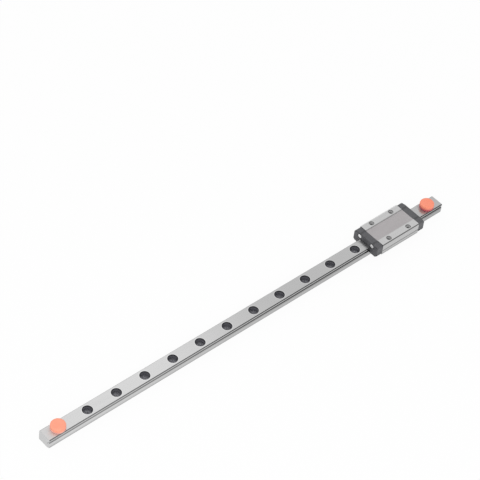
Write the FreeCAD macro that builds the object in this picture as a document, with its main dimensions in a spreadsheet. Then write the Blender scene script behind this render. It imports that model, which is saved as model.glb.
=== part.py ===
# Miniature profile linear guide: a ground rail with a gothic arch groove in each flank,
# a recirculating ball carriage that rides on it, and a push-in stopper at each end.
# Millimetres. The origin is on the rail's underside at mid length: X runs along the rail,
# Y across it and Z up to the carriage's mounting face.
import FreeCAD, Part
import Sketcher
import math
import os
import re

doc = FreeCAD.newDocument("linear_guide")
sheet = doc.addObject("Spreadsheet::Sheet", "Sizes")

# Driving dimensions. The words after each value say what it measures.
drivingSizes = [
    ("rail_length", 300.0, "length of the rail"),
    ("rail_width", 9.0, "width of the rail between its ground flanks"),
    ("rail_height", 6.5, "height of the rail"),
    ("rail_top_chamfer", 0.45, "chamfer along the two top edges of the rail"),
    ("rail_base_chamfer", 0.3, "chamfer along the two bottom edges of the rail"),
    ("hole_pitch", 20.0, "spacing of the fixing holes"),
    ("hole_end_margin", 6.0, "least distance from a hole's axis to the rail's end"),
    ("hole_diameter", 3.5, "through hole for the fixing screw"),
    ("counterbore_diameter", 6.0, "counterbore for the fixing screw's head"),
    ("counterbore_depth", 3.5, "depth of that counterbore"),
    ("rail_end_bevel", 1.0, "bevel around the rail's sawn ends"),
    ("groove_drop", 2.0, "depth of the ball tracks below the rail's top"),
    ("track_radius", 0.9, "radius of each flank of a gothic arch"),
    ("arch_offset", 0.05, "how far each arch centre lies off the ball's centre"),
    ("slot_width", 0.5, "slot at the root of the rail's groove"),
    ("slot_depth", 1.05, "depth of that slot from the rail's flank"),
    ("ball_diameter", 1.588, "ball"),
    ("ball_play", 0.05, "gap between one ball and the next"),
    ("wire_diameter", 0.3, "retaining wire that keeps the balls in the carriage"),
    ("wire_play", 0.02, "gap between the retaining wire and the balls"),
    ("side_gap", 0.3, "gap between the rail's flank and the carriage's channel"),
    ("top_gap", 0.35, "gap between the rail's top and the carriage's channel"),
    ("carriage_rest_gap", 7.7, "gap between the carriage and the head of the stopper beside it"),
    ("carriage_width", 20.0, "width of the carriage block"),
    ("carriage_rise", 3.5, "height of the mounting face above the rail's top"),
    ("carriage_underside", 2.0, "height of the carriage's lower edge"),
    ("block_length", 29.9, "length of the steel block"),
    ("block_chamfer", 0.4, "chamfer along the block's long edges"),
    ("relief_width", 10.0, "width of the shallow relief along the mounting face"),
    ("relief_depth", 0.25, "depth of that relief"),
    ("side_groove_rise", 3.1, "height of the datum groove in each side above the lower edge"),
    ("side_groove_width", 0.7, "width of that groove"),
    ("side_groove_depth", 0.3, "depth of that groove"),
    ("tap_spacing_x", 16.0, "spacing of the tapped holes along the carriage"),
    ("tap_edge", 2.5, "distance of the tapped holes from the carriage's sides"),
    ("tap_diameter", 2.5, "core diameter of the tapped holes"),
    ("tap_mouth", 3.2, "countersink at the mouth of the tapped holes"),
    ("tap_depth", 3.0, "depth of the tapped holes"),
    ("return_diameter", 1.8, "bore that takes the balls back along the block"),
    ("cap_length", 4.3, "length of each end cap"),
    ("cap_inset", 0.1, "how far the end caps stay inside the block's sides"),
    ("cap_set_down", 0.3, "how far the end caps stay below the mounting face"),
    ("cap_lift", 0.15, "how far the end caps stay above the block's lower edge"),
    ("cap_corner", 1.0, "bevel of the end caps' outer corners"),
    ("turn_depth", 2.3, "depth of the passage that turns the balls round in a cap"),
    ("cap_gap", 0.4, "gap between the rail and the end caps"),
    ("seal_length", 0.4, "thickness of each end seal"),
    ("seal_inset", 0.12, "how far the seal's outline stays inside the end cap's"),
    ("seal_crown", 7.0, "half width of the level part of the seal's upper edge"),
    ("seal_drop", 0.8, "how far the seal's shoulders slope down beyond that"),
    ("seal_gap", 0.12, "gap between the seal's lip and the rail"),
    ("screw_offset", 5.2, "distance of each cap screw from the middle of the carriage"),
    ("screw_rise", 1.55, "height of the cap screws above the rail's top"),
    ("screw_head_diameter", 2.6, "head of a cap screw"),
    ("screw_head_length", 1.0, "height of that head"),
    ("screw_head_recess", 0.1, "how far the head lies behind the seal's face"),
    ("screw_diameter", 1.5, "shank of a cap screw"),
    ("screw_length", 7.0, "length of that shank under the head"),
    ("screw_play", 0.1, "gap around the shank and the head of a cap screw"),
    ("stopper_diameter", 8.8, "head of a stopper"),
    ("stopper_thickness", 2.9, "height of that head"),
    ("stopper_bevel", 0.75, "reach of the two bevels that round the head's upper edge"),
    ("stopper_stem_length", 2.8, "length of the stem that goes into a counterbore"),
    ("stopper_play", 0.05, "gap between the stem and the counterbore"),
    ("near_stopper_lift", 0.3, "gap under the head of the stopper at the free end"),
    ("far_stopper_lift", 0.55, "gap under the head of the stopper beside the carriage"),
]
for row, (alias, value, meaning) in enumerate(drivingSizes, start=1):
    sheet.set(f"A{row}", alias)
    sheet.set(f"B{row}", str(value))
    sheet.setAlias(f"B{row}", alias)
    sheet.set(f"C{row}", meaning)
doc.recompute()

tapMouthAngle = 90
ballSides = 6
ballBands = 3
aliases = {alias for alias, value, meaning in drivingSizes}


def named(text):
    """The expression with each driving dimension looked up in the sheet."""
    return re.sub(r"[a-z_]+", lambda word: ("Sizes." + word.group() if word.group() in aliases
                                            else word.group()), text)


def size(text):
    """Value of an expression on the driving dimensions."""
    return float(sheet.evalExpression(named(text)))


# Places that follow from the driving dimensions.
ballOffset = "(rail_width / 2 + side_gap / 2)"
channelSide = "(rail_width / 2 + side_gap)"
channelTop = "(rail_height + top_gap)"
grooveHeight = "(rail_height - groove_drop)"
holeCount = "(floor((rail_length - 2 * hole_end_margin) / hole_pitch) + 1)"
holeRowHalf = f"(({holeCount} - 1) * hole_pitch / 2)"
wireOffset = f"({ballOffset} - ball_diameter / 2 - wire_play - wire_diameter / 2)"
carriageHalf = "(block_length / 2 + cap_length + seal_length)"
carriagePlace = f"({holeRowHalf} - stopper_diameter / 2 - carriage_rest_gap - {carriageHalf})"
carriageTop = "(rail_height + carriage_rise)"
blockTrackCentre = f"({ballOffset} - arch_offset)"
blockTrackRoot = f"({blockTrackCentre} + sqrt(track_radius^2 - arch_offset^2))"
returnOffset = f"(({blockTrackRoot} + carriage_width / 2 - side_groove_depth) / 2)"
sideGroove = "(carriage_underside + side_groove_rise)"
capHalf = "(carriage_width / 2 - cap_inset)"
capTop = f"({carriageTop} - cap_set_down)"
capUnderside = "(carriage_underside + cap_lift)"
capInner = "(rail_width / 2 + cap_gap)"
screwHeight = "(rail_height + screw_rise)"
screwPlaces = [("screw_offset", screwHeight), ("-screw_offset", screwHeight)]
seatDiameter = "screw_head_diameter + 2 * screw_play"


def newBody(name):
    body = doc.addObject("PartDesign::Body", name)
    body.Label = name
    return body


def originFeature(body, role):
    return next(feature for feature in body.Origin.OriginFeatures if feature.Role == role)


def newSketch(body, name, plane, offset=None):
    """Empty sketch on one of the body's own planes, moved along its normal by an expression."""
    sketch = body.newObject("Sketcher::SketchObject", name)
    sketch.AttachmentSupport = [(originFeature(body, plane), "")]
    sketch.MapMode = "FlatFace"
    if offset is not None:
        sketch.setExpression("AttachmentOffset.Base.z", named(offset))
    return sketch


def line(across, up):
    """Corner reached by a straight side."""
    return {"point": (across, up), "arc": None}


def arc(across, up, radius, centreAcross, centreUp):
    """Corner reached by an arc with the given radius and centre."""
    return {"point": (across, up), "arc": (radius, centreAcross, centreUp)}


def turnedAround(corners):
    """The same stretch of outline taken in the opposite order."""
    followers = [corner["arc"] for corner in corners[1:]] + [None]
    return [{"point": corner["point"], "arc": follower}
            for corner, follower in zip(corners, followers)][::-1]


def mirrored(corners):
    """The same stretch of outline on the other side of the middle, in the opposite order."""
    flipped = []
    for corner in turnedAround(corners):
        across, up = corner["point"]
        bend = corner["arc"]
        if bend is not None:
            radius, centreAcross, centreUp = bend
            bend = (radius, f"-({centreAcross})", centreUp)
        flipped.append({"point": (f"-({across})", up), "arc": bend})
    return flipped


def drawOutline(sketch, corners):
    """Closed outline through the corners, each side bound to the driving dimensions."""
    count = len(corners)
    places = [tuple(size(text) for text in corner["point"]) for corner in corners]
    ends = []
    for index in range(count):
        start = places[index]
        nextCorner = corners[(index + 1) % count]
        finish = places[(index + 1) % count]
        if nextCorner["arc"] is None:
            segment = Part.LineSegment(FreeCAD.Vector(*start, 0), FreeCAD.Vector(*finish, 0))
            ends.append((sketch.addGeometry(segment, False), 1, 2))
            continue
        radius, centreAcross, centreUp = (size(text) for text in nextCorner["arc"])
        centre = FreeCAD.Vector(centreAcross, centreUp, 0)
        startAngle = math.atan2(start[1] - centreUp, start[0] - centreAcross)
        finishAngle = math.atan2(finish[1] - centreUp, finish[0] - centreAcross)
        forward = (finishAngle - startAngle) % math.tau < math.pi
        first, last = (startAngle, finishAngle) if forward else (finishAngle, startAngle)
        if last < first:
            last += math.tau
        circle = Part.Circle(centre, FreeCAD.Vector(0, 0, 1), radius)
        geometry = sketch.addGeometry(Part.ArcOfCircle(circle, first, last), False)
        ends.append((geometry, 1, 2) if forward else (geometry, 2, 1))
        bound = sketch.addConstraint(Sketcher.Constraint("Radius", geometry, radius))
        sketch.setExpression(f"Constraints[{bound}]", named(nextCorner["arc"][0]))
    for index in range(count):
        geometry, startPoint, endPoint = ends[index]
        previous, previousStart, previousEnd = ends[index - 1]
        sketch.addConstraint(
            Sketcher.Constraint("Coincident", previous, previousEnd, geometry, startPoint))
        for kind, value, text in zip(("DistanceX", "DistanceY"), places[index],
                                     corners[index]["point"]):
            bound = sketch.addConstraint(Sketcher.Constraint(kind, geometry, startPoint, value))
            sketch.setExpression(f"Constraints[{bound}]", named(text))


def drawCircles(sketch, centres, diameter):
    """Circles of one diameter about the given centres."""
    for across, up in centres:
        centre = FreeCAD.Vector(size(across), size(up), 0)
        circle = Part.Circle(centre, FreeCAD.Vector(0, 0, 1), size(diameter) / 2)
        geometry = sketch.addGeometry(circle, False)
        for kind, value, text in (("DistanceX", centre.x, across), ("DistanceY", centre.y, up)):
            bound = sketch.addConstraint(Sketcher.Constraint(kind, geometry, 3, value))
            sketch.setExpression(f"Constraints[{bound}]", named(text))
        bound = sketch.addConstraint(Sketcher.Constraint("Diameter", geometry, circle.Radius * 2))
        sketch.setExpression(f"Constraints[{bound}]", named(diameter))


def pad(body, name, sketch, length, symmetric=False):
    feature = body.newObject("PartDesign::Pad", name)
    feature.Profile = sketch
    feature.SideType = "Symmetric" if symmetric else "One side"
    feature.setExpression("Length", named(length))
    doc.recompute()
    return feature


def pocket(body, name, sketch, length=None, reverse=False, symmetric=False):
    """Cut along the sketch's normal, backwards unless reversed; through everything by default."""
    before = body.Shape.Volume
    feature = body.newObject("PartDesign::Pocket", name)
    feature.Profile = sketch
    feature.SideType = "Symmetric" if symmetric else "One side"
    feature.Reversed = reverse
    if length is None:
        feature.Type = "ThroughAll"
    else:
        feature.setExpression("Length", named(length))
    doc.recompute()
    if not body.Shape.Volume < before:
        raise RuntimeError(f"{name} removes nothing from {body.Label}")
    return feature


def hole(body, name, sketch, diameter, depth=None):
    """Drilled hole under each circle of the sketch, right through unless it has a depth."""
    doc.recompute()
    feature = body.newObject("PartDesign::Hole", name)
    feature.Profile = sketch
    feature.ThreadType = "None"
    feature.DrillPoint = "Flat"
    feature.setExpression("Diameter", named(diameter))
    if depth is None:
        feature.DepthType = "ThroughAll"
    else:
        feature.DepthType = "Dimension"
        feature.setExpression("Depth", named(depth))
    return feature


def revolve(body, name, sketch, axis):
    feature = body.newObject("PartDesign::Revolution", name)
    feature.Profile = sketch
    feature.ReferenceAxis = (originFeature(body, axis), [""])
    feature.Angle = 360
    doc.recompute()
    return feature


def place(body, x, turned=False):
    """Put a body at a place along the rail, turned end for end where it faces the far end."""
    angle = 180 if turned else 0
    body.Placement = FreeCAD.Placement(
        FreeCAD.Vector(0, 0, 0), FreeCAD.Rotation(FreeCAD.Vector(0, 0, 1), angle))
    body.setExpression("Placement.Base.x", named(x))


def railFlank(gap):
    """Rail profile above its base chamfer on one side, set off by a gap, from the base up."""
    centre = f"({ballOffset} + arch_offset)"
    radius = f"(track_radius - {gap})"
    side = f"(rail_width / 2 + {gap})"
    rise = f"(sqrt({radius}^2 - ({centre} - {side})^2) - arch_offset)"
    slotHalf = f"(slot_width / 2 - {gap})"
    root = f"({centre} - sqrt({radius}^2 - ({slotHalf} + arch_offset)^2))"
    slotEnd = f"(rail_width / 2 - slot_depth + {gap})"
    return [
        line(side, f"{grooveHeight} - {rise}"),
        arc(root, f"{grooveHeight} - {slotHalf}", radius, centre,
            f"{grooveHeight} + arch_offset"),
        line(slotEnd, f"{grooveHeight} - {slotHalf}"),
        line(slotEnd, f"{grooveHeight} + {slotHalf}"),
        line(root, f"{grooveHeight} + {slotHalf}"),
        arc(side, f"{grooveHeight} + {rise}", radius, centre,
            f"{grooveHeight} - arch_offset"),
        line(side, f"rail_height - rail_top_chamfer + {gap} / 2"),
        line(f"{side} - rail_top_chamfer - {gap} / 2", f"rail_height + {gap}"),
    ]


def makeRail():
    rail = newBody("rail")
    section = newSketch(rail, "rail_section", "YZ_Plane")
    side = [
        line("rail_width / 2 - rail_base_chamfer", "0"),
        line("rail_width / 2", "rail_base_chamfer"),
    ] + railFlank("0")
    drawOutline(section, side + mirrored(side))
    pad(rail, "rail_bar", section, "rail_length", symmetric=True)

    levels = newSketch(rail, "end_bevels_level", "XZ_Plane")
    sides = newSketch(rail, "end_bevels_side", "XY_Plane")
    for end in ("", "-"):
        edge = f"{end} rail_length / 2"
        inside = f"{end} (rail_length / 2 - rail_end_bevel)"
        for outer, inner in (("rail_height", "rail_height - rail_end_bevel"),
                             ("0", "rail_end_bevel")):
            drawOutline(levels, [line(edge, inner), line(edge, outer), line(inside, outer)])
        for flank in ("", "-"):
            outer = f"{flank} rail_width / 2"
            inner = f"{flank} (rail_width / 2 - rail_end_bevel)"
            drawOutline(sides, [line(edge, inner), line(edge, outer), line(inside, outer)])
    pocket(rail, "level_bevels", levels, "2 * rail_width", symmetric=True)
    pocket(rail, "side_bevels", sides, "4 * rail_height", symmetric=True)

    first = newSketch(rail, "first_hole", "XY_Plane", "rail_height")
    drawCircles(first, [(f"- {holeRowHalf}", "0")], "counterbore_diameter")
    drilled = hole(rail, "fixing_hole", first, "hole_diameter")
    drilled.HoleCutType = "Counterbore"
    drilled.HoleCutCustomValues = True
    drilled.setExpression("HoleCutDiameter", named("counterbore_diameter"))
    drilled.setExpression("HoleCutDepth", named("counterbore_depth"))
    doc.recompute()
    row = rail.newObject("PartDesign::LinearPattern", "hole_row")
    row.Originals = [drilled]
    row.Direction = (originFeature(rail, "X_Axis"), [""])
    row.setExpression("Length", named(f"2 * {holeRowHalf}"))
    row.setExpression("Occurrences", named(holeCount))
    rail.Tip = row
    doc.recompute()
    return rail


def makeStopper(name, x, height):
    """Turned head with a softened rim and a stem that sits in a counterbore."""
    stopper = newBody(name)
    section = newSketch(stopper, name + "_section", "XZ_Plane")
    headRadius = "stopper_diameter / 2"
    stemRadius = "counterbore_diameter / 2 - stopper_play"
    drawOutline(section, [
        line(stemRadius, "-stopper_stem_length"),
        line(stemRadius, "0"),
        line(headRadius, "0"),
        line(headRadius, "stopper_thickness - stopper_bevel"),
        line(f"{headRadius} - stopper_bevel / 3", "stopper_thickness - stopper_bevel / 3"),
        line(f"{headRadius} - stopper_bevel", "stopper_thickness"),
        line("0", "stopper_thickness"),
        line("0", "-stopper_stem_length"),
    ])
    revolve(stopper, name + "_turned", section, "Z_Axis")
    place(stopper, x)
    stopper.setExpression("Placement.Base.z", named(height))
    return stopper


def makeCarriageBlock():
    """Steel block: an inverted channel with a gothic arch track in each inner wall."""
    block = newBody("carriage_block")
    section = newSketch(block, "block_section", "YZ_Plane")
    rise = f"(sqrt(track_radius^2 - ({channelSide} - {blockTrackCentre})^2) - arch_offset)"
    half = "carriage_width / 2"
    side = [
        line(channelSide, channelTop),
        line(channelSide, f"{grooveHeight} + {rise}"),
        arc(blockTrackRoot, grooveHeight, "track_radius", blockTrackCentre,
            f"{grooveHeight} - arch_offset"),
        arc(channelSide, f"{grooveHeight} - {rise}", "track_radius", blockTrackCentre,
            f"{grooveHeight} + arch_offset"),
        line(channelSide, "carriage_underside"),
        line(f"{half} - block_chamfer", "carriage_underside"),
        line(half, "carriage_underside + block_chamfer"),
        line(half, f"{sideGroove} - side_groove_width / 2"),
        line(f"{half} - side_groove_depth", sideGroove),
        line(half, f"{sideGroove} + side_groove_width / 2"),
        line(half, f"{carriageTop} - block_chamfer"),
        line(f"{half} - block_chamfer", carriageTop),
        line("relief_width / 2", carriageTop),
        line("relief_width / 2", f"{carriageTop} - relief_depth"),
    ]
    drawOutline(section, side + mirrored(side))
    pad(block, "block_bar", section, "block_length", symmetric=True)

    returns = newSketch(block, "return_centres", "YZ_Plane")
    drawCircles(returns, [(returnOffset, grooveHeight), (f"-{returnOffset}", grooveHeight)],
                "return_diameter")
    pocket(block, "return_bores", returns, "2 * block_length", symmetric=True)

    taps = newSketch(block, "tap_centres", "XY_Plane", carriageTop)
    corners = [(f"{along} tap_spacing_x / 2", f"{across} (carriage_width / 2 - tap_edge)")
               for along in ("", "-") for across in ("", "-")]
    drawCircles(taps, corners, "tap_diameter")
    drilled = hole(block, "mounting_taps", taps, "tap_diameter", "tap_depth")
    drilled.HoleCutType = "Countersink"
    drilled.HoleCutCustomValues = True
    drilled.setExpression("HoleCutDiameter", named("tap_mouth"))
    drilled.HoleCutCountersinkAngle = tapMouthAngle
    doc.recompute()

    reach = "(screw_head_recess + screw_head_length + screw_length + screw_play)"
    depth = f"({reach} - cap_length - seal_length)"
    for end, sign, reverse in (("near", "-", True), ("far", "", False)):
        ends = newSketch(block, f"{end}_tap_centres", "YZ_Plane", f"{sign} block_length / 2")
        drawCircles(ends, screwPlaces, "screw_diameter + screw_play")
        pocket(block, f"{end}_taps", ends, depth, reverse=reverse)
    place(block, carriagePlace)
    return block


def makeEndCap(name, x, turned):
    """Moulded cap: legs down both sides of the rail, and in each leg the passage that turns
    the balls round from the track into the return bore."""
    cap = newBody(name)
    section = newSketch(cap, name + "_section", "YZ_Plane")
    side = [
        line(capInner, "rail_height + cap_gap"),
        line(capInner, capUnderside),
        line(f"{capHalf} - cap_corner", capUnderside),
        line(capHalf, f"{capUnderside} + cap_corner"),
        line(capHalf, f"{capTop} - cap_corner"),
        line(f"{capHalf} - cap_corner", capTop),
    ]
    drawOutline(section, side + mirrored(side))
    pad(cap, name + "_bar", section, "cap_length")

    reach = "return_diameter / 2"
    for label, sign in (("left", ""), ("right", "-")):
        passage = newSketch(cap, f"{name}_{label}_passage", "YZ_Plane", "cap_length")
        centre = f"{sign} {returnOffset}"
        mouth = f"{sign} ({capInner} - {reach})"
        drawOutline(passage, [
            line(mouth, f"{grooveHeight} - {reach}"),
            line(centre, f"{grooveHeight} - {reach}"),
            arc(f"{sign} ({returnOffset} + {reach})", grooveHeight, reach, centre, grooveHeight),
            arc(centre, f"{grooveHeight} + {reach}", reach, centre, grooveHeight),
            line(mouth, f"{grooveHeight} + {reach}"),
        ])
        pocket(cap, f"{name}_{label}_turn", passage, "turn_depth")

    bores = newSketch(cap, name + "_bores", "YZ_Plane")
    drawCircles(bores, screwPlaces, "screw_diameter + 2 * screw_play")
    pocket(cap, name + "_screw_bores", bores, reverse=True)
    seats = newSketch(cap, name + "_seats", "YZ_Plane")
    drawCircles(seats, screwPlaces, seatDiameter)
    pocket(cap, name + "_screw_seats", seats,
           "screw_head_length + screw_head_recess - seal_length", reverse=True)
    place(cap, x, turned)
    return cap


def makeEndSeal(name, x, turned):
    """Thin plate with a lip that follows the rail's profile into its grooves."""
    seal = newBody(name)
    section = newSketch(seal, name + "_section", "YZ_Plane")
    half = f"({capHalf} - seal_inset)"
    top = f"({capTop} - seal_inset)"
    underside = f"({capUnderside} + seal_inset)"
    side = turnedAround(railFlank("seal_gap")) + [
        line("rail_width / 2 + seal_gap", underside),
        line(f"{half} - cap_corner", underside),
        line(half, f"{underside} + cap_corner"),
        line(half, f"{top} - seal_drop"),
        line("seal_crown", top),
    ]
    drawOutline(section, side + mirrored(side))
    pad(seal, name + "_plate", section, "seal_length")
    seats = newSketch(seal, name + "_seats", "YZ_Plane")
    drawCircles(seats, screwPlaces, seatDiameter)
    pocket(seal, name + "_screw_seats", seats, reverse=True)
    place(seal, x, turned)
    return seal


def makeCapScrew(name, x, y, turned):
    """Cheese head screw that holds a seal and its cap to the block."""
    screw = newBody(name)
    section = newSketch(screw, name + "_section", "XY_Plane")
    rim = "screw_head_diameter / 2"
    side = [
        line("0", "0"),
        line("0", rim),
        line("screw_head_length", rim),
        line("screw_head_length", "screw_diameter / 2"),
        line("screw_head_length + screw_length", "screw_diameter / 2"),
        line("screw_head_length + screw_length", "0"),
    ]
    drawOutline(section, side)
    revolve(screw, name + "_turned", section, "X_Axis")
    place(screw, x, turned)
    screw.setExpression("Placement.Base.y", named(y))
    screw.setExpression("Placement.Base.z", named(screwHeight))
    return screw


def ballSolid(centre, radius, sides, bands):
    """Ball with flat facets between its rings: a row of these stays light."""
    rings = []
    for band in range(1, bands):
        tilt = math.pi * band / bands
        rings.append([centre + FreeCAD.Vector(radius * math.sin(tilt) * math.cos(turn),
                                              radius * math.sin(tilt) * math.sin(turn),
                                              radius * math.cos(tilt))
                      for turn in (math.tau * side / sides for side in range(sides))])
    top = centre + FreeCAD.Vector(0, 0, radius)
    bottom = centre - FreeCAD.Vector(0, 0, radius)
    faces = []
    for side in range(sides):
        after = (side + 1) % sides
        faces.append([top, rings[0][side], rings[0][after]])
        faces.append([bottom, rings[-1][after], rings[-1][side]])
        for upper, lower in zip(rings, rings[1:]):
            faces.append([upper[side], lower[side], lower[after], upper[after]])
    shell = Part.makeShell([Part.Face(Part.makePolygon(face + face[:1])) for face in faces])
    return Part.makeSolid(shell)


def makeBallRow(name, y):
    """Loaded balls between the rail's track and the block's track."""
    diameter = size("ball_diameter")
    pitch = diameter + size("ball_play")
    count = math.floor((size("block_length") - diameter) / pitch) + 1
    balls = [ballSolid(FreeCAD.Vector((index - (count - 1) / 2) * pitch, 0, 0),
                       diameter / 2, ballSides, ballBands) for index in range(count)]
    row = doc.addObject("Part::Feature", name)
    row.Label = name
    row.Shape = Part.makeCompound(balls)
    row.setExpression("Placement.Base.x", named(carriagePlace))
    row.setExpression("Placement.Base.y", named(y))
    row.setExpression("Placement.Base.z", named(grooveHeight))
    return row


def makeRetainerWire(name, y):
    """Straight wire in the slot at the root of the rail's groove, held between the seals."""
    wire = doc.addObject("Part::Cylinder", name)
    wire.Label = name
    wire.setExpression("Radius", named("wire_diameter / 2"))
    wire.setExpression("Height", named("block_length + 2 * cap_length"))
    wire.Placement = FreeCAD.Placement(
        FreeCAD.Vector(0, 0, 0), FreeCAD.Rotation(FreeCAD.Vector(0, 1, 0), 90))
    wire.setExpression("Placement.Base.x",
                       named(f"{carriagePlace} - block_length / 2 - cap_length"))
    wire.setExpression("Placement.Base.y", named(y))
    wire.setExpression("Placement.Base.z", named(grooveHeight))
    return wire


nodes = [makeRail()]
nodes.append(makeStopper("stopper_near", f"- {holeRowHalf}", "rail_height + near_stopper_lift"))
nodes.append(makeStopper("stopper_far", holeRowHalf, "rail_height + far_stopper_lift"))
nodes.append(makeCarriageBlock())
for end, sign, turned in (("near", "-", False), ("far", "+", True)):
    sealFace = f"{carriagePlace} {sign} {carriageHalf}"
    capFace = f"{carriagePlace} {sign} (block_length / 2 + cap_length)"
    headFace = f"{carriagePlace} {sign} ({carriageHalf} - screw_head_recess)"
    nodes.append(makeEndCap("end_cap_" + end, capFace, turned))
    nodes.append(makeEndSeal("end_seal_" + end, sealFace, turned))
    for label, side in (("left", ""), ("right", "-")):
        nodes.append(makeCapScrew(f"cap_screw_{end}_{label}", headFace,
                                  f"{side} screw_offset", turned))
for label, side in (("left", ""), ("right", "-")):
    nodes.append(makeBallRow("ball_row_" + label, f"{side} {ballOffset}"))
    nodes.append(makeRetainerWire("retainer_wire_" + label, f"{side} {wireOffset}"))
doc.recompute()

for thing in doc.Objects:
    if "Invalid" in thing.State or "Error" in thing.State:
        raise RuntimeError(f"{thing.Label} did not build: {thing.State}")
for node in nodes:
    if node.Shape.isNull() or not node.Shape.isValid() or not node.Shape.Solids:
        raise RuntimeError(f"{node.Label} is not a valid solid")

os.makedirs("parts", exist_ok=True)
for node in nodes:
    node.Shape.exportStep(f"parts/{node.Label}.step")
    print(f"{node.Label}: {len(node.Shape.Solids)} solid, {node.Shape.Volume:.2f} mm3")
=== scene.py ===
import bmesh
import bpy
import math
import random
from mathutils import Matrix, Vector


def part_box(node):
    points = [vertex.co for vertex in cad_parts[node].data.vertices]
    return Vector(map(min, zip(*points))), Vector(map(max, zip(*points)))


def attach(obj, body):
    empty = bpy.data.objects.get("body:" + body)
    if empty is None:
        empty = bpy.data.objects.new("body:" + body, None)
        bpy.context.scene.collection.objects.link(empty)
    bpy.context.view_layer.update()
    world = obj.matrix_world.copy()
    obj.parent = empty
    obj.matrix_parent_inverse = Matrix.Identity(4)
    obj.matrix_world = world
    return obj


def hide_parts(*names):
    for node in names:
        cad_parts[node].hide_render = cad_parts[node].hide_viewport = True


# Looks of a miniature linear guide: ground rail, ball carriage and two push-in stoppers.
# Sizes of the pieces are millimetres; the scene itself is in metres.
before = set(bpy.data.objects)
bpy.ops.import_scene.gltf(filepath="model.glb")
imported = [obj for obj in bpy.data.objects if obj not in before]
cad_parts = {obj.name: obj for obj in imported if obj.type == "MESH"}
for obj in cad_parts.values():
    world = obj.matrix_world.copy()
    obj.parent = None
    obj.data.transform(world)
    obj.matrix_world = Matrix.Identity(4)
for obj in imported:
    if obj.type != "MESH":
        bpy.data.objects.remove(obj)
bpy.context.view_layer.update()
mm = 0.001
print("frame loaded")


class Wire:
    # one output of a shader node; arithmetic on it adds Math nodes
    def __init__(self, finish, socket):
        self.finish = finish
        self.socket = socket

    def other(self, name):
        # another output of the same node
        return Wire(self.finish, self.socket.node.outputs[name])

    def maths(self, operation, *values):
        return self.finish.maths(operation, self, *values)

    def __add__(self, value):
        return self.maths("ADD", value)

    def __sub__(self, value):
        return self.maths("SUBTRACT", value)

    def __rsub__(self, value):
        return self.finish.maths("SUBTRACT", value, self)

    def __mul__(self, value):
        return self.maths("MULTIPLY", value)

    def __truediv__(self, value):
        return self.maths("DIVIDE", value)

    def __rtruediv__(self, value):
        return self.finish.maths("DIVIDE", value, self)

    def __gt__(self, value):
        return self.maths("GREATER_THAN", value)

    def __abs__(self):
        return self.maths("ABSOLUTE")

    __radd__ = __add__
    __rmul__ = __mul__

    def step(self, low, high):
        # 0 below low, 1 above high, smooth between them
        settings = {"interpolation_type": "SMOOTHSTEP"}
        return self.finish.node("MapRange", settings, (self, low, high, 0.0, 1.0))

    def band(self, low, high, soft):
        # 1 between low and high, with edges this soft
        return self.step(low - soft, low + soft) * (1 - self.step(high - soft, high + soft))


class Finish:
    # the shader nodes of one material, or of the world
    def __init__(self, tree):
        self.tree = tree
        tree.nodes.clear()

    def node(self, kind, settings, inputs, output=0):
        made = self.tree.nodes.new("ShaderNode" + kind)
        for name, value in settings.items():
            setattr(made, name, value)
        pairs = inputs.items() if isinstance(inputs, dict) else enumerate(inputs)
        for name, value in pairs:
            if isinstance(value, Wire):
                self.tree.links.new(value.socket, made.inputs[name])
            else:
                made.inputs[name].default_value = value
        return Wire(self, made.outputs[output]) if len(made.outputs) else None

    def maths(self, operation, *values):
        return self.node("Math", {"operation": operation}, values)

    def mix(self, factor, first, second, kind="MIX"):
        # of a Mix node's sockets, 6 and 7 are the colours and output 2 is the mixed one
        settings = {"data_type": "RGBA", "blend_type": kind}
        return self.node("Mix", settings, {0: factor, 6: first, 7: second}, 2)

    def painted(self, colour, *coats):
        # coats of (share, colour), each one over those before it
        for share, coat in coats:
            colour = self.mix(share, colour, coat)
        return colour

    def millimetres(self):
        place = self.node("TexCoord", {}, (), "Object")
        return self.stretched(place, (1 / mm, 1 / mm, 1 / mm))

    def stretched(self, place, factors):
        return self.node("VectorMath", {"operation": "MULTIPLY"}, (place, factors))

    def axes(self, place):
        parts = self.node("SeparateXYZ", {}, (place,))
        return parts, parts.other("Y"), parts.other("Z")

    def upward(self):
        # 1 on faces that look up, 0 on upright ones
        return self.axes(self.node("TexCoord", {}, (), "Normal"))[2]

    def noise(self, place, grains, detail, roughness=0.6):
        # noise from 0 to 1 with this many grains a millimetre along each axis
        inputs = {"Vector": self.stretched(place, grains), "Scale": 1.0,
                  "Detail": detail, "Roughness": roughness}
        return self.node("TexNoise", {}, inputs)

    def bump(self, height):
        # height in millimetres
        return self.node("Bump", {}, {"Height": height * mm, "Strength": 1.0, "Distance": 1.0})

    def surface(self, inputs):
        shader = self.node("BsdfPrincipled", {}, inputs)
        self.node("OutputMaterial", {}, {"Surface": shader})


def tone(red, green, blue):
    # colour of a pixel of these levels, 0 to 255
    def linear(value):
        value /= 255
        return value / 12.92 if value <= 0.04045 else ((value + 0.055) / 1.055) ** 2.4
    return (linear(red), linear(green), linear(blue), 1.0)


def grey(level):
    return tone(level, level, level)


def blend(first, second, share):
    # from first to second, for numbers and wires alike
    return first + (second - first) * share


def weighted(weights, masks):
    # the plain value, and each mask times its weight
    total = weights.get("plain", 0.0)
    for name, mask in masks.items():
        total = total + mask * weights[name]
    return total


def newFinish(name):
    material = bpy.data.materials.new(name)
    material.use_nodes = True
    return material, Finish(material.node_tree)


def dress(names, material):
    for name in names:
        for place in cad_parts[name].material_slots:
            place.material = material


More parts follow.
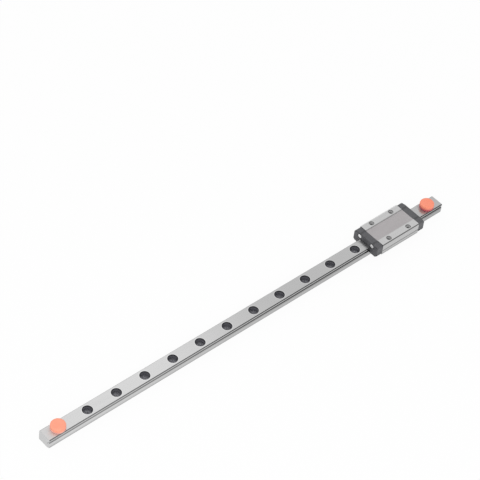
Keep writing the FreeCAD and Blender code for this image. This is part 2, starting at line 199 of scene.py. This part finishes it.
def finished(shape, name, material, smooth=True):
    bmesh.ops.recalc_face_normals(shape, faces=shape.faces)
    mesh = bpy.data.meshes.new(name)
    shape.to_mesh(mesh)
    shape.free()
    for face in mesh.polygons:
        face.use_smooth = smooth
    mesh.materials.append(material)
    piece = bpy.data.objects.new(name, mesh)
    bpy.context.scene.collection.objects.link(piece)
    return piece


# In the dictionaries a pair of lengths is where a soft step starts and ends, and a third number
# is the softness of a band. A noise has its grains a millimetre, detail and, if given, roughness.

# painted shade: ground steel is toned by how far a face looks up, from 0 for upright to 1 for
# level
faceTurns = {
    "leaning": (0.25, 0.7),
    "level": (0.85, 0.97),
}


def shadeByFace(finish, upright, leaning, level):
    upward = finish.upward()
    shade = blend(upright, leaning, upward.step(*faceTurns["leaning"]))
    return blend(shade, level, upward.step(*faceTurns["level"]))


# rail
railSizes = {
    "height": 6.5,
    "end": 150.0,
    "holePitch": 20.0,
    "counterboreRadius": 3.0,
    "topSkin": 0.02,  # depth that counts as the top face
    "boreTop": (-0.08, -0.01),  # from the top face
    "boreBottom": (0.01, 0.05),  # from the underside
    "boreEdge": (0.02, 0.08),  # from the counterbore's wall, as the next four
    "wallFoot": (-0.15, -0.05),
    "brokenEdge": (0.11, 0.15),
    "rimHighlightBand": (0.13, 0.42, 0.03),
    "rimSlope": (-0.02, 0.42),
    "throughEdge": (1.8, 1.9),  # from the hole's axis
    "mouthHeights": (5.2, 6.0),
    "chamferAcross": (4.05, 4.11),
    "chamferHeights": (6.0, 6.12),
    "flankAcross": (4.3, 4.45),
    "footHeights": (0.4, 2.6),
    "landHeights": (4.9, 5.2),
    "grooveAcross": (4.2, 4.5),
    "grooveBand": (3.55, 5.3, 0.1),
    "oilAndShadeBand": (3.05, 3.6, 0.2),
    "sawnFrom": (-1.02, -0.98),  # from the rail's end
    "shadeTowardsFarOver": (-150.0, 60.0),
    "paintedShadeOver": (-75.0, 10.0),
    "darkerOver": (-78.0, 38.0),
    "rubbedNear": (-145.0, -140.0),
    "rubbedFar": (133.0, 136.0),
    "grain": ((0.06, 9.0, 9.0), 4.0, 0.7),
    "wide": ((0.015, 2.2, 2.2), 2.0),
    "patches": ((0.02, 0.25, 0.25), 2.0),
    "sawMarks": ((4.0, 0.4, 7.0), 3.0),
    "dull": grey(206),
    "face": grey(232),
    "hole": tone(178, 178, 184),
    "boreFloor": tone(131, 131, 136),
    "boreWall": tone(112, 112, 118),
    "boreMouth": tone(46, 46, 49),
    "greaseAndShade": grey(96),
    "rim": grey(250),
    "ungroundAndShade": grey(58),
    "flankNear": grey(232),
    "flankFar": grey(210),
    "flankFoot": grey(188),
    "land": grey(196),
    "lightness": {"grain": 0.4, "wide": 0.3, "patches": 0.3},
    "paintedShadeShare": 0.5,
    "flankShare": 0.8,
    "landShare": 0.7,
    "oilAndShadeShare": 0.5,
    "rimHighlightShare": 0.75,
    "brokenEdgeShadeShare": 0.85,
    "greaseAndShadeShare": (0.22, 0.9),  # at the near end and at the far end
    "chamferShare": (0.45, 0.78),
    "topShade": (0.95, 0.74),  # near and far, as the next two
    "flankShade": (0.83, 0.64),
    "leaningShade": (0.43, 0.34),
    "sawnShade": 0.98,
    "boreDullness": 0.85,
    "rubbedFarShare": 0.8,
    "roughness": {"plain": 0.14, "top": 0.1, "grain": 0.08, "bore": 0.4, "sawn": 0.16,
                  "rubbed": 0.25},
    "heights": {"grain": 0.0008, "saw": 0.004, "rim": 0.05},
}


def railSteel():
    sizes = railSizes
    material, finish = newFinish("groundRailSteel")
    place = finish.millimetres()
    x, y, z = finish.axes(place)
    across = abs(y)
    grain = finish.noise(place, *sizes["grain"])
    wide = finish.noise(place, *sizes["wide"])
    patches = finish.noise(place, *sizes["patches"])
    sawMarks = finish.noise(place, *sizes["sawMarks"])

    # holes
    halfPitch = sizes["holePitch"] / 2
    fromHole = x.maths("WRAP", halfPitch, -halfPitch)
    fromAxis = (fromHole * fromHole + y * y).maths("SQRT")
    fromWall = fromAxis - sizes["counterboreRadius"]
    fromTop = z - sizes["height"]
    onTop = z > sizes["height"] - sizes["topSkin"]
    inside = (1 - fromTop.step(*sizes["boreTop"])) * z.step(*sizes["boreBottom"])
    inBore = inside * (1 - fromWall.step(*sizes["boreEdge"]))
    # painted highlight: a light ring on the top around each counterbore
    rim = onTop * fromWall.band(*sizes["rimHighlightBand"])
    # painted shade: a dark ring at each counterbore's broken edge
    brokenEdgeShade = onTop * (1 - fromWall.step(*sizes["brokenEdge"]))
    # painted shade in the counterbores: darkest at the mouth, the wall and floor less, the
    # through hole lighter
    bore = finish.painted(sizes["hole"],
                          (fromAxis.step(*sizes["throughEdge"]), sizes["boreFloor"]),
                          (fromWall.step(*sizes["wallFoot"]), sizes["boreWall"]),
                          (z.step(*sizes["mouthHeights"]), sizes["boreMouth"]))

    # ends, flanks and grooves; painted shade grows towards the far end
    sawn = (abs(x) - sizes["end"]).step(*sizes["sawnFrom"])
    shadeTowardsFar = x.step(*sizes["shadeTowardsFarOver"])
    onFlank = across.step(*sizes["flankAcross"]) * (1 - sawn)
    inGroove = (1 - across.step(*sizes["grooveAcross"])) * z.band(*sizes["grooveBand"])
    inGroove = inGroove * (1 - inBore) * (1 - sawn)
    # grease and painted shade: a dark band below the grooves, more towards the far end
    oiledAndShaded = z.band(*sizes["oilAndShadeBand"]) * shadeTowardsFar * onFlank
    chamfer = across.step(*sizes["chamferAcross"]) * z.step(*sizes["chamferHeights"])
    chamfer = chamfer * (1 - sawn)
    rubbed = 1 - x.step(*sizes["rubbedNear"])  # under the stoppers
    rubbed = rubbed + x.step(*sizes["rubbedFar"]) * sizes["rubbedFarShare"]

    # painted shade: the flanks darker towards the far end, and the land above the groove darker
    # at the near end
    flank = finish.painted(
        sizes["flankNear"],
        (shadeTowardsFar, sizes["flankFar"]),
        (1 - z.step(*sizes["footHeights"]), sizes["flankFoot"]),
        (z.step(*sizes["landHeights"]) * (1 - shadeTowardsFar) * sizes["landShare"], sizes["land"]))
    lightness = weighted(sizes["lightness"], {"grain": grain, "wide": wide, "patches": patches})
    colour = finish.painted(
        sizes["dull"],
        (lightness, sizes["face"]),
        # painted shade: half-way to the dull tone from about x = -75 to 10 mm on
        (x.step(*sizes["paintedShadeOver"]) * sizes["paintedShadeShare"], sizes["dull"]),
        (onFlank * sizes["flankShare"], flank),
        (sawn * sawMarks, sizes["dull"]),
        # grease and painted shade in the grooves, more towards the far end
        (inGroove * blend(*sizes["greaseAndShadeShare"], shadeTowardsFar), sizes["greaseAndShade"]),
        (oiledAndShaded * sizes["oilAndShadeShare"], sizes["greaseAndShade"]),
        # painted highlight around the counterbores
        (rim * sizes["rimHighlightShare"], sizes["rim"]),
        # unground chamfers with painted shade, more towards the far end
        (chamfer * blend(*sizes["chamferShare"], shadeTowardsFar), sizes["ungroundAndShade"]))

    # painted shade: darker towards the far end, on upright faces and most of all on leaning ones
    along = (x + sizes["end"]) / (2 * sizes["end"])
    shade = shadeByFace(finish, blend(*sizes["flankShade"], along),
                        blend(*sizes["leaningShade"], along),
                        blend(*sizes["topShade"], x.step(*sizes["darkerOver"])))
    shade = blend(shade, sizes["sawnShade"], sawn)
    colour = finish.mix(1.0, colour, shade, "MULTIPLY")
    # painted shade at the counterbores' broken edges
    colour = finish.painted(colour, (brokenEdgeShade * sizes["brokenEdgeShadeShare"], sizes["boreMouth"]),
                            (inBore, bore))

    roughness = weighted(sizes["roughness"], {"top": onTop, "grain": grain, "bore": inBore,
                                              "sawn": sawn, "rubbed": rubbed})
    height = weighted(sizes["heights"], {"grain": grain * (1 - inBore), "saw": sawMarks * sawn,
                                         "rim": fromWall.step(*sizes["rimSlope"]) * onTop})
    finish.surface({"Base Color": colour, "Metallic": 1.0 - inBore * sizes["boreDullness"],
                    "Roughness": roughness, "Normal": finish.bump(height)})
    return material


dress(["rail"], railSteel())
print("rail dressed")


# carriage block
blockSizes = {
    "top": 10.0,
    "reliefDepth": 0.25,
    "reliefSkin": 0.1,  # depth that counts as the relief's floor
    "reliefEdge": (4.94, 5.02),
    "reliefLine": (5.0, 5.35, 0.12),
    "sideAcross": (9.5, 9.7),
    "footHeights": (2.0, 4.6),
    "sideGroove": (4.9, 5.7, 0.35),
    "edgeAcross": (9.5, 9.62),
    "edgeHeights": (9.3, 9.5),
    "groundEdgeWider": 0.3,
    "tapAlong": 8.0,
    "tapAcross": 7.5,
    "tapRadius": 1.25,
    "tapDepth": 3.0,
    "tapFloor": 1.0,  # below the thread
    "mouthEdge": (1.63, 1.7),  # from the tap's axis
    "boreEdge": (1.27, 1.35),
    "litMouthSide": (-1.5, -0.3),  # of the mouth, towards -X and -Y, painted lighter
    "litMouthDepth": 0.5,
    "threadStart": 0.4,
    "threadPitch": 0.5,
    "threadHeight": 0.16,
    "threadSink": 0.02,
    "threadSides": 32,
    "threadFade": 0.5,  # turns
    "threadForm": ((0.0, 0.5), (-0.75, 0.2), (-1.0, 0.0), (-0.75, -0.2), (0.0, -0.5)),
    "brushed": ((0.08, 6.0, 6.0), 4.0, 0.75),
    "coarse": ((0.03, 1.6, 1.6), 2.0),
    "patches": ((0.1, 0.2, 0.2), 2.0),
    "strip": grey(241),
    "stripDull": grey(205),
    "relief": tone(211, 207, 208),
    "reliefDull": tone(194, 190, 191),
    "mouth": grey(104),
    "bore": grey(186),
    "side": grey(231),
    "sideFoot": grey(168),
    "edgeLine": grey(168),
    "groundLitEdge": grey(252),
    "plainShadedEdge": grey(150),
    "groove": grey(176),
    "stripLightness": {"brushed": 0.55, "coarse": 0.45},
    "reliefLightness": {"patches": 0.6, "brushed": 0.25},
    "sideShare": 0.8,
    "edgeShare": 0.9,
    "grooveShare": 0.7,
    "lineShare": (0.2, 0.8),  # plain side and ground side
    "mouthShare": 0.9,
    "litMouthShare": 0.85,
    "topShade": 0.74,
    "sideShade": 0.66,
    "leaningShade": 0.39,
    "boreDullness": 0.95,
    "roughness": {"plain": 0.22, "brushed": 0.14, "relief": 0.12, "mouth": 0.3},
    "heights": {"brushed": 0.003, "coarse": 0.002},
}


blockLow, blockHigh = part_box("carriage_block")
blockMiddle = (blockLow.x + blockHigh.x) / 2 / mm


def blockSteel():
    sizes = blockSizes
    material, finish = newFinish("groundBlockSteel")
    place = finish.millimetres()
    x, y, z = finish.axes(place)
    across = abs(y)
    groundSideAndShade = y > 0.0
    brushed = finish.noise(place, *sizes["brushed"])
    coarse = finish.noise(place, *sizes["coarse"])
    patches = finish.noise(place, *sizes["patches"])

    # tapped holes, from the nearest one's axis
    tapAlong, tapAcross, top = sizes["tapAlong"], sizes["tapAcross"], sizes["top"]
    tapX = (x - (blockMiddle - tapAlong)).maths("WRAP", tapAlong, -tapAlong)
    tapY = (y + tapAcross).maths("WRAP", tapAcross, -tapAcross)
    fromTap = (tapX * tapX + tapY * tapY).maths("SQRT")
    aboveFloor = z > top - sizes["tapDepth"] - sizes["tapFloor"]
    inMouth = (1 - fromTap.step(*sizes["mouthEdge"])) * aboveFloor
    inTap = inMouth * (1 - fromTap.step(*sizes["boreEdge"]))
    # painted highlight: the mouth's side towards -X and -Y, near the top
    worn = (1 - (tapX + tapY).step(*sizes["litMouthSide"])) * (z > top - sizes["litMouthDepth"])

    # relief, sides and edges
    relief = 1 - across.step(*sizes["reliefEdge"])
    relief = relief * (z > top - sizes["reliefDepth"] - sizes["reliefSkin"])
    onSide = across.step(*sizes["sideAcross"])
    edge = (across + groundSideAndShade * sizes["groundEdgeWider"]).step(*sizes["edgeAcross"])
    edge = edge * z.step(*sizes["edgeHeights"])
    # painted shade along the relief's edges, stronger on +Y
    line = across.band(*sizes["reliefLine"]) * blend(*sizes["lineShare"], groundSideAndShade)

    stripLightness = weighted(sizes["stripLightness"], {"brushed": brushed, "coarse": coarse})
    reliefLightness = weighted(sizes["reliefLightness"], {"patches": patches, "brushed": brushed})
    # painted shade: the sides darker towards the bottom
    side = finish.mix(z.step(*sizes["footHeights"]), sizes["sideFoot"], sizes["side"])
    # the ground edge on +Y painted light, the plain edge on -Y painted shade
    edgeTone = finish.mix(groundSideAndShade, sizes["plainShadedEdge"], sizes["groundLitEdge"])
    reliefTone = finish.mix(reliefLightness, sizes["reliefDull"], sizes["relief"])
    colour = finish.painted(
        sizes["stripDull"],
        (stripLightness, sizes["strip"]),
        (onSide * sizes["sideShare"], side),
        (edge * sizes["edgeShare"], edgeTone),
        # painted shade along the side groove
        (onSide * z.band(*sizes["sideGroove"]) * sizes["grooveShare"], sizes["groove"]),
        (line, sizes["edgeLine"]),
        (relief, reliefTone))

    # painted shade: the top, the sides and the leaning faces on -Y darkened by how they face
    leaning = blend(sizes["sideShade"], sizes["leaningShade"], 1 - groundSideAndShade)
    shade = shadeByFace(finish, sizes["sideShade"], leaning, sizes["topShade"])
    colour = finish.mix(1.0, colour, shade, "MULTIPLY")
    # painted shade in the tap mouths, lighter on the highlighted side, and painted light in the
    # pale bores
    mouthShare = inMouth * (1 - worn * sizes["litMouthShare"]) * sizes["mouthShare"]
    colour = finish.painted(colour, (mouthShare, sizes["mouth"]), (inTap, sizes["bore"]))

    roughness = weighted(sizes["roughness"],
                         {"brushed": brushed, "relief": relief, "mouth": inMouth})
    height = weighted(sizes["heights"], {"brushed": brushed, "coarse": coarse})
    finish.surface({"Base Color": colour, "Metallic": 1.0 - inTap * sizes["boreDullness"],
                    "Roughness": roughness, "Normal": finish.bump(height)})
    return material


def tapThread(name, along, across, material):
    # the rounded crests of a thread, wound down a tapped hole
    sizes = blockSizes
    sides, pitch, form = sizes["threadSides"], sizes["threadPitch"], sizes["threadForm"]
    turns = (sizes["tapDepth"] - sizes["threadStart"]) / pitch
    shape = bmesh.new()
    rows = []
    for index in range(int(turns * sides) + 1):
        wound = index / sides
        turn = math.tau * wound
        fade = min(1.0, wound / sizes["threadFade"], (turns - wound) / sizes["threadFade"])
        height = sizes["top"] - sizes["threadStart"] - wound * pitch
        row = []
        for inward, rise in form:
            reach = sizes["tapRadius"] + sizes["threadSink"]
            reach += inward * sizes["threadHeight"] * fade
            row.append(shape.verts.new(((along + reach * math.cos(turn)) * mm,
                                        (across + reach * math.sin(turn)) * mm,
                                        (height + rise * pitch) * mm)))
        rows.append(row)
    for upper, lower in zip(rows, rows[1:]):
        for index in range(len(form) - 1):
            shape.faces.new((upper[index], upper[index + 1], lower[index + 1], lower[index]))
    return finished(shape, name, material)


blockMaterial = blockSteel()
dress(["carriage_block"], blockMaterial)
for alongSign, alongName in ((-1, "near"), (1, "far")):
    for acrossSign, acrossName in ((-1, "right"), (1, "left")):
        thread = tapThread(f"tap_thread_{alongName}_{acrossName}",
                           blockMiddle + alongSign * blockSizes["tapAlong"],
                           acrossSign * blockSizes["tapAcross"], blockMaterial)
        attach(thread, "carriage")
print("carriage block dressed")


# end caps and seals
capSizes = {
    "footHeights": (2.5, 6.0),
    "footAcross": (8.6, 9.2),
    "shoulderHeights": (5.0, 7.0),
    "shoulderAcross": (9.3, 9.6),
    "archAcross": (0.5, 3.0),  # over the rail
    "archHeights": (9.2, 9.6),
    "seatShadeEdge": (1.4, 2.0),  # from a screw's axis
    "grain": ((5.0, 5.0, 5.0), 3.0, 0.7),
    "flow": ((0.5, 0.3, 0.4), 2.0),
    "dark": tone(68, 68, 71),
    "light": tone(96, 96, 99),
    "sealDark": tone(62, 62, 65),
    "sealLight": tone(92, 92, 95),
    "foot": tone(52, 52, 55),
    "seat": tone(30, 30, 32),
    "lightness": {"flow": 0.7, "grain": 0.3},
    "footShare": 0.8,
    "shoulderShare": 0.5,
    "archShare": 0.45,
    "seatShadeShare": 0.75,
    "capRoughness": 0.4,
    "sealRoughness": 0.45,
    "grainRoughness": 0.2,
    "grainHeight": 0.012,
}


screwPlaces = []
for side in ("left", "right"):
    low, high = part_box("cap_screw_near_" + side)
    screwPlaces.append(((low.y + high.y) / 2 / mm, (low.z + high.z) / 2 / mm))


def mouldedPlastic(name, dark, light, plainRoughness):
    sizes = capSizes
    material, finish = newFinish(name)
    place = finish.millimetres()
    y, z = finish.axes(place)[1:]
    across = abs(y)
    grain = finish.noise(place, *sizes["grain"])
    flow = finish.noise(place, *sizes["flow"])
    # painted shade: the sides darker towards the bottom
    foot = (1 - z.step(*sizes["footHeights"])) * across.step(*sizes["footAcross"])
    shoulder = z.step(*sizes["shoulderHeights"]) * across.step(*sizes["shoulderAcross"])
    # painted shade: darker over the rail, below the top
    arch = (1 - across.step(*sizes["archAcross"])) * (1 - z.step(*sizes["archHeights"]))
    colour = finish.painted(
        dark,
        (weighted(sizes["lightness"], {"flow": flow, "grain": grain}), light),
        (foot * sizes["footShare"], sizes["foot"]),
        (shoulder * sizes["shoulderShare"], light),
        (arch * sizes["archShare"], sizes["foot"]))
    for screwY, screwZ in screwPlaces:
        fromScrew = ((y - screwY) * (y - screwY) + (z - screwZ) * (z - screwZ)).maths("SQRT")
        # painted shade: a dark ring around each screw head
        seat = (1 - fromScrew.step(*sizes["seatShadeEdge"])) * sizes["seatShadeShare"]
        colour = finish.mix(seat, colour, sizes["seat"])
    finish.surface({"Base Color": colour, "Metallic": 0.0,
                    "Roughness": plainRoughness + grain * sizes["grainRoughness"],
                    "Normal": finish.bump(grain * sizes["grainHeight"])})
    return material


dress(["end_cap_near", "end_cap_far"],
      mouldedPlastic("capPlastic", capSizes["dark"], capSizes["light"],
                     capSizes["capRoughness"]))
dress(["end_seal_near", "end_seal_far"],
      mouldedPlastic("sealRubber", capSizes["sealDark"], capSizes["sealLight"],
                     capSizes["sealRoughness"]))
print("end caps and seals dressed")


# cap screws
screwSizes = {
    "headRadius": 1.3,
    "headLength": 1.0,
    "headProfile": ((0.92, 0.0), (0.9568, 0.02), (0.9844, 0.08), (1.0, 0.18)),
    "shankRadius": 0.75,
    "shankLength": 7.0,
    "crossReach": 0.58,
    "crossWidth": 0.16,
    "crossDepth": 0.2,
    "crossTaper": 0.7,
    "sides": 48,
    "firstSide": -1.5,
    "turnSeed": 9,
    "grain": ((7.0, 7.0, 7.0), 3.0),
    "bright": grey(246),
    "worn": grey(222),
    "metallic": 0.4,
    "roughness": 0.26,
    "grainRoughness": 0.12,
    "grainHeight": 0.003,
}


def screwSteel():
    sizes = screwSizes
    material, finish = newFinish("screwSteel")
    grain = finish.noise(finish.millimetres(), *sizes["grain"])
    finish.surface({"Base Color": finish.mix(grain, sizes["worn"], sizes["bright"]),
                    "Metallic": sizes["metallic"],
                    "Roughness": sizes["roughness"] + grain * sizes["grainRoughness"],
                    "Normal": finish.bump(grain * sizes["grainHeight"])})
    return material


def capScrew(name, node, outward, material):
    # pan head with a cross recess, its face towards the end of the rail
    sizes = screwSizes
    low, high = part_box(node)
    face = low.x if outward < 0 else high.x
    middle = (low + high) / 2
    radius, length = sizes["headRadius"], sizes["headLength"]
    reach, half = sizes["crossReach"], sizes["crossWidth"] / 2
    shape = bmesh.new()

    def ring(points, scale, depth):
        return [shape.verts.new((first * scale * mm, second * scale * mm, -depth * mm))
                for first, second in points]

    def wall(upper, lower):
        for side in range(len(upper)):
            after = (side + 1) % len(upper)
            shape.faces.new((upper[side], upper[after], lower[after], lower[side]))

    cross = []
    for quarter in range(4):
        cosine, sine = math.cos(math.pi / 2 * quarter), math.sin(math.pi / 2 * quarter)
        for along, across in ((reach, -half), (reach, half), (half, half)):
            cross.append((along * cosine - across * sine, along * sine + across * cosine))
    turns = [math.tau * (side + sizes["firstSide"]) / sizes["sides"]
             for side in range(sizes["sides"])]
    circle = [(math.cos(turn), math.sin(turn)) for turn in turns]

    mouth = ring(cross, 1.0, 0.0)
    crossFloor = ring(cross, sizes["crossTaper"], sizes["crossDepth"])
    profile = [(radius * share, depth) for share, depth in sizes["headProfile"]]
    profile += [(radius, length), (sizes["shankRadius"], length),
                (sizes["shankRadius"], length + sizes["shankLength"])]
    rings = [ring(circle, reached, depth) for reached, depth in profile]
    for upper, lower in zip(rings, rings[1:]):
        wall(upper, lower)
    shape.faces.new(rings[-1])
    wall(mouth, crossFloor)
    shape.faces.new(crossFloor)
    edges = [shape.edges.get(pair) for points in (mouth, rings[0])
             for pair in zip(points, points[1:] + points[:1])]
    bmesh.ops.triangle_fill(shape, edges=edges, use_beauty=True)

    turn = Matrix.Rotation(math.pi / 2 * outward, 4, "Y")
    twist = Matrix.Rotation(random.uniform(0, math.pi / 2), 4, "Z")
    bmesh.ops.transform(shape, matrix=turn @ twist, verts=shape.verts)
    bmesh.ops.translate(shape, vec=(face, middle.y, middle.z), verts=shape.verts)
    screw = finished(shape, name, material, smooth=False)
    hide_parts(node)
    return screw


random.seed(screwSizes["turnSeed"])
screwMaterial = screwSteel()
for end, outward in (("near", -1), ("far", 1)):
    for side in ("left", "right"):
        screw = capScrew(f"pan_screw_{end}_{side}", f"cap_screw_{end}_{side}", outward,
                         screwMaterial)
        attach(screw, "carriage")
print("cap screws made")


# balls and retainer wires
ballSizes = {
    "radius": 0.794,
    "play": 0.05,
    "count": 18,
    "fineness": 4,
    "smear": ((0.8, 0.8, 0.8), 3.0),
    "dull": grey(205),
    "shine": grey(226),
    "ballRoughness": 0.06,
    "wireRoughness": 0.2,
    "smearRoughness": 0.08,
}


def polishedSteel(name, plainRoughness):
    material, finish = newFinish(name)
    smear = finish.noise(finish.millimetres(), *ballSizes["smear"])
    finish.surface({"Base Color": finish.mix(smear, ballSizes["dull"], ballSizes["shine"]),
                    "Metallic": 1.0,
                    "Roughness": plainRoughness + smear * ballSizes["smearRoughness"]})
    return material


def ballRow(name, node, material):
    low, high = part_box(node)
    middle = (low + high) / 2
    pitch = (2 * ballSizes["radius"] + ballSizes["play"]) * mm
    shape = bmesh.new()
    for index in range(ballSizes["count"]):
        offset = (index - (ballSizes["count"] - 1) / 2) * pitch
        place = Matrix.Translation((middle.x + offset, middle.y, middle.z))
        bmesh.ops.create_icosphere(shape, subdivisions=ballSizes["fineness"],
                                   radius=ballSizes["radius"] * mm, matrix=place)
    row = finished(shape, name, material)
    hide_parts(node)
    return row


ballMaterial = polishedSteel("ballSteel", ballSizes["ballRoughness"])
for side in ("left", "right"):
    row = ballRow(f"balls_{side}", f"ball_row_{side}", ballMaterial)
    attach(row, "carriage")
dress(["retainer_wire_left", "retainer_wire_right"],
      polishedSteel("wireSteel", ballSizes["wireRoughness"]))
print("balls and wires made")


# stoppers
stopperSizes = {
    "headRadius": 4.4,
    "seatGap": 0.05,
    "crown": ((0.0, -0.04), (1.4, -0.03), (2.6, -0.01)),  # radius, height from the top
    "topRounding": 1.1,
    "topSteps": 8,
    "footRounding": 0.15,
    "footSteps": 5,
    "stemRadius": 2.95,
    "stemLength": 2.8,
    "neck": ((0.15, 0.0), (0.0, -0.12)),  # beyond the stem's radius, height
    "stemEnd": ((0.0, 0.4), (-0.1, 0.1), (-0.3, 0.0)),  # the same, from the stem's end
    "sides": 96,
    "cloud": ((0.35, 0.35, 0.35), 2.0),
    "grain": ((6.0, 6.0, 6.0), 3.0),
    "bright": {"near": tone(255, 168, 139), "far": tone(255, 156, 126)},
    "deep": {"near": tone(255, 156, 127), "far": tone(255, 144, 114)},
    # painted shade on the far stopper's foot, painted light on the near one's
    "foot": {"near": tone(255, 186, 174), "far": tone(206, 92, 100)},
    "footRise": {"near": 1.0, "far": 1.9},
    "footSoft": 0.6,  # share of the rise where the foot's tone starts to end
    "roughness": 0.5,
    "grainRoughness": 0.12,
    "grainHeight": 0.002,
}


def stopperRubber(end):
    sizes = stopperSizes
    material, finish = newFinish(end + "StopperRubber")
    place = finish.millimetres()
    aboveRail = finish.axes(place)[2] - railSizes["height"]
    cloud = finish.noise(place, *sizes["cloud"])
    grain = finish.noise(place, *sizes["grain"])
    rise = sizes["footRise"][end]
    # painted shade or painted light on the foot, by stopper
    foot = 1 - aboveRail.step(rise * sizes["footSoft"], rise)
    colour = finish.painted(sizes["deep"][end], (cloud, sizes["bright"][end]),
                            (foot, sizes["foot"][end]))
    finish.surface({"Base Color": colour, "Metallic": 0.0,
                    "Roughness": sizes["roughness"] + grain * sizes["grainRoughness"],
                    "Normal": finish.bump(grain * sizes["grainHeight"])})
    return material


def quarterTurn(steps):
    # sine and cosine at even steps from 0 to 90 degrees
    turns = [math.pi / 2 * index / steps for index in range(steps + 1)]
    return [(math.sin(turn), math.cos(turn)) for turn in turns]


def turnedShape(profile, sides):
    # a closed solid of revolution from (radius, height) points, top to bottom
    shape = bmesh.new()
    rings = []
    for radius, height in profile:
        count = sides if radius > 0.0 else 1
        rings.append([shape.verts.new((radius * mm * math.cos(math.tau * side / sides),
                                       radius * mm * math.sin(math.tau * side / sides),
                                       height * mm)) for side in range(count)])
    for upper, lower in zip(rings, rings[1:]):
        for side in range(sides):
            after = (side + 1) % sides
            corners = [upper[side % len(upper)], upper[after % len(upper)],
                       lower[after % len(lower)], lower[side % len(lower)]]
            shape.faces.new(list(dict.fromkeys(corners)))
    return shape


def stopper(name, node, material):
    sizes = stopperSizes
    low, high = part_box(node)
    middle = (low + high) / 2
    seat = railSizes["height"] + sizes["seatGap"]
    thick = high.z / mm - seat
    radius, top, foot = sizes["headRadius"], sizes["topRounding"], sizes["footRounding"]
    stem, deep = sizes["stemRadius"], sizes["stemLength"]
    profile = [(out, thick + rise) for out, rise in sizes["crown"]]
    for sine, cosine in quarterTurn(sizes["topSteps"]):
        profile.append((radius - top + top * sine, thick - top + top * cosine))
    for sine, cosine in quarterTurn(sizes["footSteps"]):
        profile.append((radius - foot + foot * cosine, foot - foot * sine))
    profile += [(stem + out, rise) for out, rise in sizes["neck"]]
    profile += [(stem + out, rise - deep) for out, rise in sizes["stemEnd"]]
    profile.append((0.0, -deep))
    shape = turnedShape(profile, sizes["sides"])
    bmesh.ops.translate(shape, vec=(middle.x, middle.y, seat * mm), verts=shape.verts)
    plug = finished(shape, name, material)
    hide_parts(node)
    return plug


for end in ("near", "far"):
    plug = stopper(f"rubber_stopper_{end}", f"stopper_{end}", stopperRubber(end))
    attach(plug, "rail_body")
print("stoppers made")


# floor and light, in metres and watts
studioSizes = {
    "floorHalf": 3.0,
    "floorDrop": 0.00002,
    "floorTone": grey(246),
    "floorSeen": 0.93,  # share of plain white in the floor that is seen
    "white": grey(255),
    "worldLevel": 0.84,
    "lampPlace": (-0.62, -0.42, 0.62),
    "lampAim": (0.0, 0.0, 0.0),
    "lampWide": 0.42,
    "lampWatts": 2.2,
}


def seenRays(finish):
    # 1 for what the camera sees, straight or in metal; 0 for light on the object
    rays = finish.node("LightPath", {}, (), "Is Camera Ray")
    seen = rays + rays.other("Is Glossy Ray") + rays.other("Is Transmission Ray")
    return seen.maths("MINIMUM", 1.0)


def makeFloor():
    sizes = studioSizes
    material, finish = newFinish("paleFloor")
    matt = finish.node("BsdfDiffuse", {}, {"Color": sizes["floorTone"]})
    glow = finish.node("Emission", {}, {"Color": sizes["white"], "Strength": 1.0})
    both = finish.node("MixShader", {}, (seenRays(finish) * sizes["floorSeen"], matt, glow))
    finish.node("OutputMaterial", {}, {"Surface": both})
    shape = bmesh.new()
    half = sizes["floorHalf"]
    corners = [shape.verts.new((x * half, y * half, -sizes["floorDrop"]))
               for x, y in ((-1, -1), (1, -1), (1, 1), (-1, 1))]
    shape.faces.new(corners)
    floor = finished(shape, "floor", material, smooth=False)


def makeWorld():
    world = bpy.data.worlds.new("studio")
    bpy.context.scene.world = world
    world.use_nodes = True
    finish = Finish(world.node_tree)
    strength = blend(studioSizes["worldLevel"], 1.0, seenRays(finish))
    background = finish.node("Background", {}, {"Color": studioSizes["white"],
                                                "Strength": strength})
    finish.node("OutputWorld", {}, {"Surface": background})


def makeLamp():
    lamp = bpy.data.lights.new("softLamp", "AREA")
    lamp.shape = "SQUARE"
    lamp.size = studioSizes["lampWide"]
    lamp.energy = studioSizes["lampWatts"]
    holder = bpy.data.objects.new("softLamp", lamp)
    holder.location = studioSizes["lampPlace"]
    aim = Vector(studioSizes["lampAim"]) - Vector(studioSizes["lampPlace"])
    holder.rotation_euler = aim.to_track_quat("-Z", "Y").to_euler()
    holder.visible_glossy = False  # metal mirrors the white studio, not the lamp
    bpy.context.scene.collection.objects.link(holder)


# camera, in degrees, millimetres and pixels of the picture; the clips are metres
cameraSizes = {
    "azimuth": -46.194,
    "elevation": 46.132,
    "roll": 7.07,
    "focalPixels": 2004.25,
    "framePixels": 480,
    "sensorWidth": 36.0,
    "across": -7.14,
    "up": 44.495,
    "away": 1147.8,
    "clipStart": 0.05,
    "clipEnd": 50.0,
}


def makeCamera():
    sizes = cameraSizes
    azimuth, elevation, roll = (math.radians(sizes[name])
                                for name in ("azimuth", "elevation", "roll"))
    back = Vector((math.sin(azimuth) * math.cos(elevation),
                   -math.cos(azimuth) * math.cos(elevation), math.sin(elevation)))
    right = Vector((math.cos(azimuth), math.sin(azimuth), 0.0))
    up = back.cross(right)
    rolledRight = math.cos(roll) * right + math.sin(roll) * up
    rolledUp = -math.sin(roll) * right + math.cos(roll) * up
    place = (rolledRight * sizes["across"] + rolledUp * sizes["up"]
             + back * sizes["away"]) * mm
    camera = bpy.data.cameras.new("camera")
    camera.sensor_width = sizes["sensorWidth"]
    camera.lens = sizes["focalPixels"] / sizes["framePixels"] * sizes["sensorWidth"]
    camera.clip_start = sizes["clipStart"]
    camera.clip_end = sizes["clipEnd"]
    holder = bpy.data.objects.new("camera", camera)
    turn = Matrix((rolledRight, rolledUp, back)).transposed().to_4x4()
    holder.matrix_world = Matrix.Translation(place) @ turn
    bpy.context.scene.collection.objects.link(holder)
    bpy.context.scene.camera = holder


makeFloor()
makeWorld()
makeLamp()
makeCamera()
bpy.context.scene.view_settings.view_transform = "Standard"
print("studio set up")
